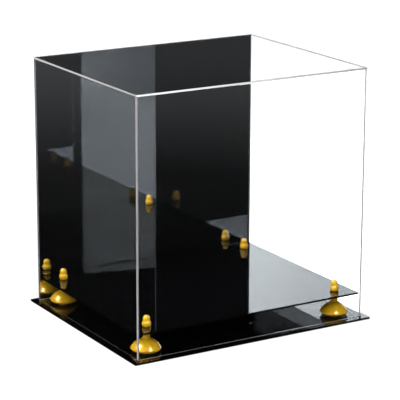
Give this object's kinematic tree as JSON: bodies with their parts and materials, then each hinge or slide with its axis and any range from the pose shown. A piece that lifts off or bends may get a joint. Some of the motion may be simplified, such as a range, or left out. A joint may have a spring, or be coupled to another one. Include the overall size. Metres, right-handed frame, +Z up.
{
  "type": "display case",
  "caption": "Clear box cover with a mirror back that lifts off a black base plate, over a raised black display platform on gold bell risers with acorn finials.",
  "frame": {"origin": "middle of the base plate's underside, on the table", "axes": "+Z up, +X along the mirror to the right as seen from the front, +Y from the front panel to the mirror"},
  "size_m": [0.406, 0.337, 0.387],
  "materials": {
    "clear_acrylic": "polished clear acrylic sheet",
    "acrylic_mirror": "silvered acrylic sheet with grey backing paint",
    "black_acrylic": "polished black acrylic sheet",
    "gold_plastic": "satin gloss gold paint",
    "screw_steel": "zinc plated"
  },
  "bodies": {
    "stand": {"base_plate": "black_acrylic", "platform": "black_acrylic", "front_left_riser": "gold_plastic", "front_right_riser": "gold_plastic", "back_left_riser": "gold_plastic", "back_right_riser": "gold_plastic", "front_left_screw": "screw_steel", "front_right_screw": "screw_steel", "back_left_screw": "screw_steel", "back_right_screw": "screw_steel"},
    "cover": {"front_panel": "clear_acrylic", "left_panel": "clear_acrylic", "right_panel": "clear_acrylic", "top_panel": "clear_acrylic", "mirror_panel": "acrylic_mirror"},
    "front_left_finial": {"front_left_finial": "gold_plastic"},
    "front_right_finial": {"front_right_finial": "gold_plastic"},
    "back_left_finial": {"back_left_finial": "gold_plastic"},
    "back_right_finial": {"back_right_finial": "gold_plastic"}
  },
  "joints": [
    {"name": "cover_lift", "type": "slide", "parent": "stand", "child": "cover", "axis": [0, 0, 1], "range_m": [0, 0.4]},
    {"name": "front_left_finial_unscrew", "type": "slide", "parent": "stand", "child": "front_left_finial", "axis": [0, 0, 1], "range_m": [0, 0.014]},
    {"name": "front_right_finial_unscrew", "type": "slide", "parent": "stand", "child": "front_right_finial", "axis": [0, 0, 1], "range_m": [0, 0.014]},
    {"name": "back_left_finial_unscrew", "type": "slide", "parent": "stand", "child": "back_left_finial", "axis": [0, 0, 1], "range_m": [0, 0.014]},
    {"name": "back_right_finial_unscrew", "type": "slide", "parent": "stand", "child": "back_right_finial", "axis": [0, 0, 1], "range_m": [0, 0.014]}
  ]
}
